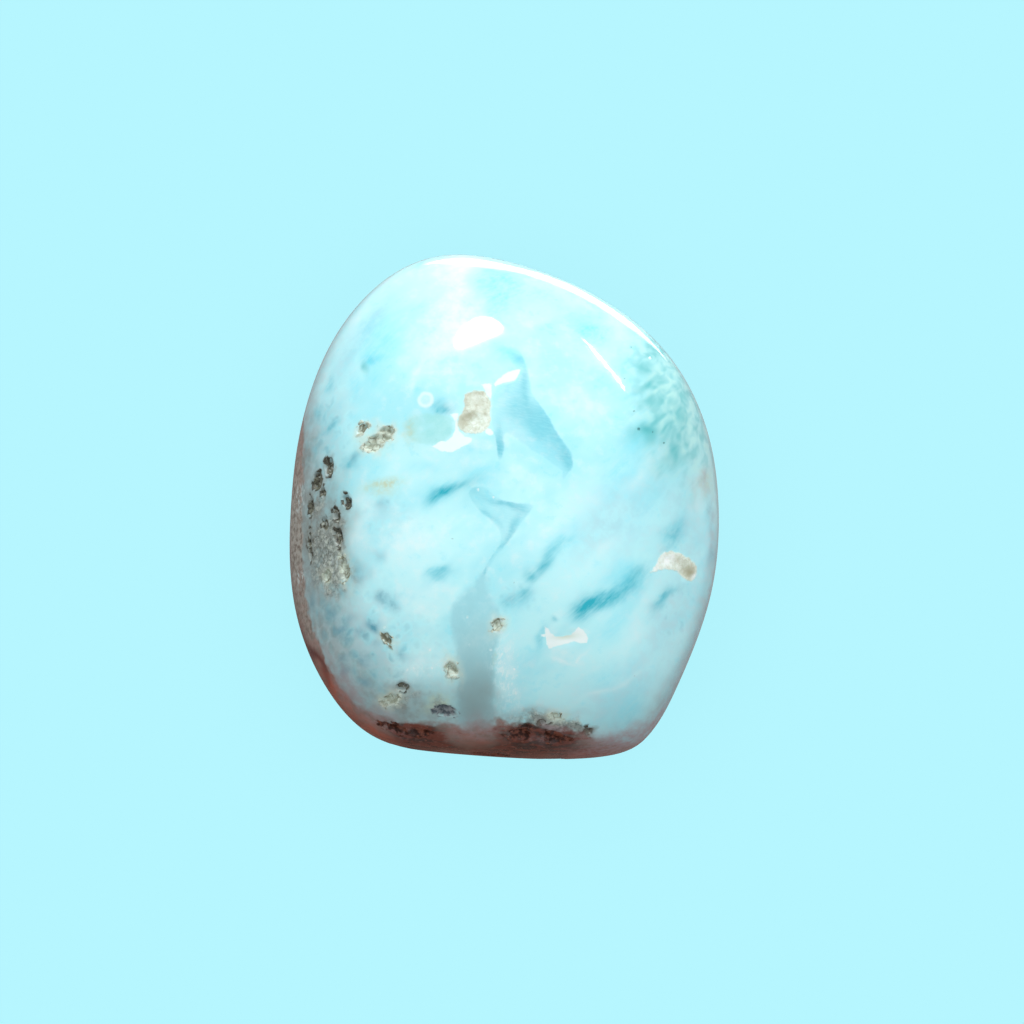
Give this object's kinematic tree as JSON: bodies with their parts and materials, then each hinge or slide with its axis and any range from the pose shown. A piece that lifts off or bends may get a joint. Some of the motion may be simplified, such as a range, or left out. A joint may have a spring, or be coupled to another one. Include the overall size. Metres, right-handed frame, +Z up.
{
  "type": "larimar palm stone",
  "caption": "Polished palm stone of pale blue larimar, a rounded flat pebble with shallow matrix pits, which lies on its back and fits in a closed hand.",
  "frame": {"origin": "middle of the footprint's box, on the surface that the stone lies on", "axes": "+X to the right across the show face, +Y along the stone's length towards its narrow head, +Z up out of the show face"},
  "size_m": [0.046, 0.0544, 0.0221],
  "materials": {
    "larimar": "polished"
  },
  "bodies": {
    "root": {"palm_stone": "larimar"}
  },
  "joints": []
}
